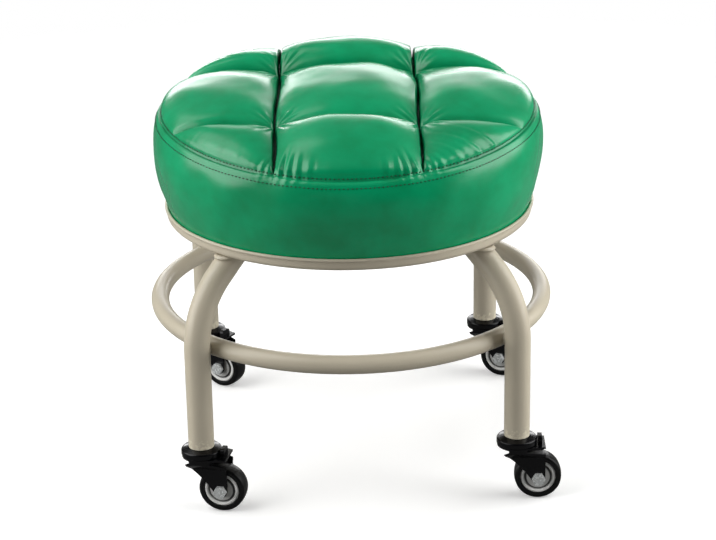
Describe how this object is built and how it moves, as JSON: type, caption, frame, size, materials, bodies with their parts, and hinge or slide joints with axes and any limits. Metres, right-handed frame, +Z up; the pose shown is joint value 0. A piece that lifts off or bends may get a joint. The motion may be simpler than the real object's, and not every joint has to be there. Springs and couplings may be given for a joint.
{
  "type": "creeper seat",
  "caption": "Low rolling creeper seat with a round tufted cushion, bent tube legs, a welded foot ring and swivel casters.",
  "frame": {"origin": "on the floor under the middle of the seat, on the vertical axis of the round cushion and the foot ring", "axes": "+Z up, -Y towards the front of the picture, +X to the right; the two deep slits of the cushion run along Y"},
  "size_m": [0.3604, 0.3604, 0.3479],
  "materials": {
    "vinyl_cover": "glossy green PVC leathercloth",
    "foam": "open-cell polyurethane foam",
    "plywood": "bare birch plywood",
    "powder_coat": "satin taupe powder coat",
    "black_coat": "black electrophoretic coat on pressed steel",
    "zinc_steel": "bright zinc plate",
    "ball_steel": "polished bearing steel",
    "insert_plastic": "black nylon",
    "bush_plastic": "natural acetal",
    "hub_plastic": "off-white polypropylene",
    "tyre": "black polyurethane"
  },
  "bodies": {
    "frame": {"seat_cover": "vinyl_cover", "foam_pad": "foam", "seat_board": "plywood", "tee_nuts": "zinc_steel", "seat_pan": "powder_coat", "seat_bolts": "zinc_steel", "seat_washers": "zinc_steel", "foot_ring": "powder_coat", "leg_front_left": "powder_coat", "leg_front_right": "powder_coat", "leg_back_left": "powder_coat", "leg_back_right": "powder_coat", "stem_insert_front_left": "insert_plastic", "stem_insert_front_right": "insert_plastic", "stem_insert_back_left": "insert_plastic", "stem_insert_back_right": "insert_plastic", "caster_stem_front_left": "zinc_steel", "caster_stem_front_right": "zinc_steel", "caster_stem_back_left": "zinc_steel", "caster_stem_back_right": "zinc_steel", "caster_hood_front_left": "black_coat", "caster_hood_front_right": "black_coat", "caster_hood_back_left": "black_coat", "caster_hood_back_right": "black_coat", "race_balls_front_left": "ball_steel", "race_balls_front_right": "ball_steel", "race_balls_back_left": "ball_steel", "race_balls_back_right": "ball_steel"},
    "caster_front_left": {"fork_front_left": "black_coat", "axle_bolt_front_left": "zinc_steel", "axle_nut_front_left": "zinc_steel", "axle_sleeve_front_left": "zinc_steel"},
    "caster_front_right": {"fork_front_right": "black_coat", "axle_bolt_front_right": "zinc_steel", "axle_nut_front_right": "zinc_steel", "axle_sleeve_front_right": "zinc_steel"},
    "caster_back_left": {"fork_back_left": "black_coat", "axle_bolt_back_left": "zinc_steel", "axle_nut_back_left": "zinc_steel", "axle_sleeve_back_left": "zinc_steel"},
    "caster_back_right": {"fork_back_right": "black_coat", "axle_bolt_back_right": "zinc_steel", "axle_nut_back_right": "zinc_steel", "axle_sleeve_back_right": "zinc_steel"},
    "wheel_front_left": {"wheel_bush_front_left": "bush_plastic", "wheel_hub_front_left": "hub_plastic", "tyre_front_left": "tyre"},
    "wheel_front_right": {"wheel_bush_front_right": "bush_plastic", "wheel_hub_front_right": "hub_plastic", "tyre_front_right": "tyre"},
    "wheel_back_left": {"wheel_bush_back_left": "bush_plastic", "wheel_hub_back_left": "hub_plastic", "tyre_back_left": "tyre"},
    "wheel_back_right": {"wheel_bush_back_right": "bush_plastic", "wheel_hub_back_right": "hub_plastic", "tyre_back_right": "tyre"}
  },
  "joints": [
    {"name": "swivel_front_left", "type": "hinge", "parent": "frame", "child": "caster_front_left", "pos_m": [-0.136, -0.136, 0.05], "axis": [0, 0, 1], "continuous": true},
    {"name": "spin_front_left", "type": "hinge", "parent": "caster_front_left", "child": "wheel_front_left", "pos_m": [-0.11823, -0.14076, 0.0205], "axis": [0.2588, 0.9659, 0], "continuous": true},
    {"name": "swivel_front_right", "type": "hinge", "parent": "frame", "child": "caster_front_right", "pos_m": [0.136, -0.136, 0.05], "axis": [0, 0, 1], "continuous": true},
    {"name": "spin_front_right", "type": "hinge", "parent": "caster_front_right", "child": "wheel_front_right", "pos_m": [0.15438, -0.13696, 0.0205], "axis": [0.0523, 0.9986, 0], "continuous": true},
    {"name": "swivel_back_left", "type": "hinge", "parent": "frame", "child": "caster_back_left", "pos_m": [-0.136, 0.136, 0.05], "axis": [0, 0, 1], "continuous": true},
    {"name": "spin_back_left", "type": "hinge", "parent": "caster_back_left", "child": "wheel_back_left", "pos_m": [-0.12057, 0.12598, 0.0205], "axis": [0.5446, 0.8387, 0], "continuous": true},
    {"name": "swivel_back_right", "type": "hinge", "parent": "frame", "child": "caster_back_right", "pos_m": [0.136, 0.136, 0.05], "axis": [0, 0, 1], "continuous": true},
    {"name": "spin_back_right", "type": "hinge", "parent": "caster_back_right", "child": "wheel_back_right", "pos_m": [0.15281, 0.12852, 0.0205], "axis": [0.4067, 0.9135, 0], "continuous": true}
  ]
}
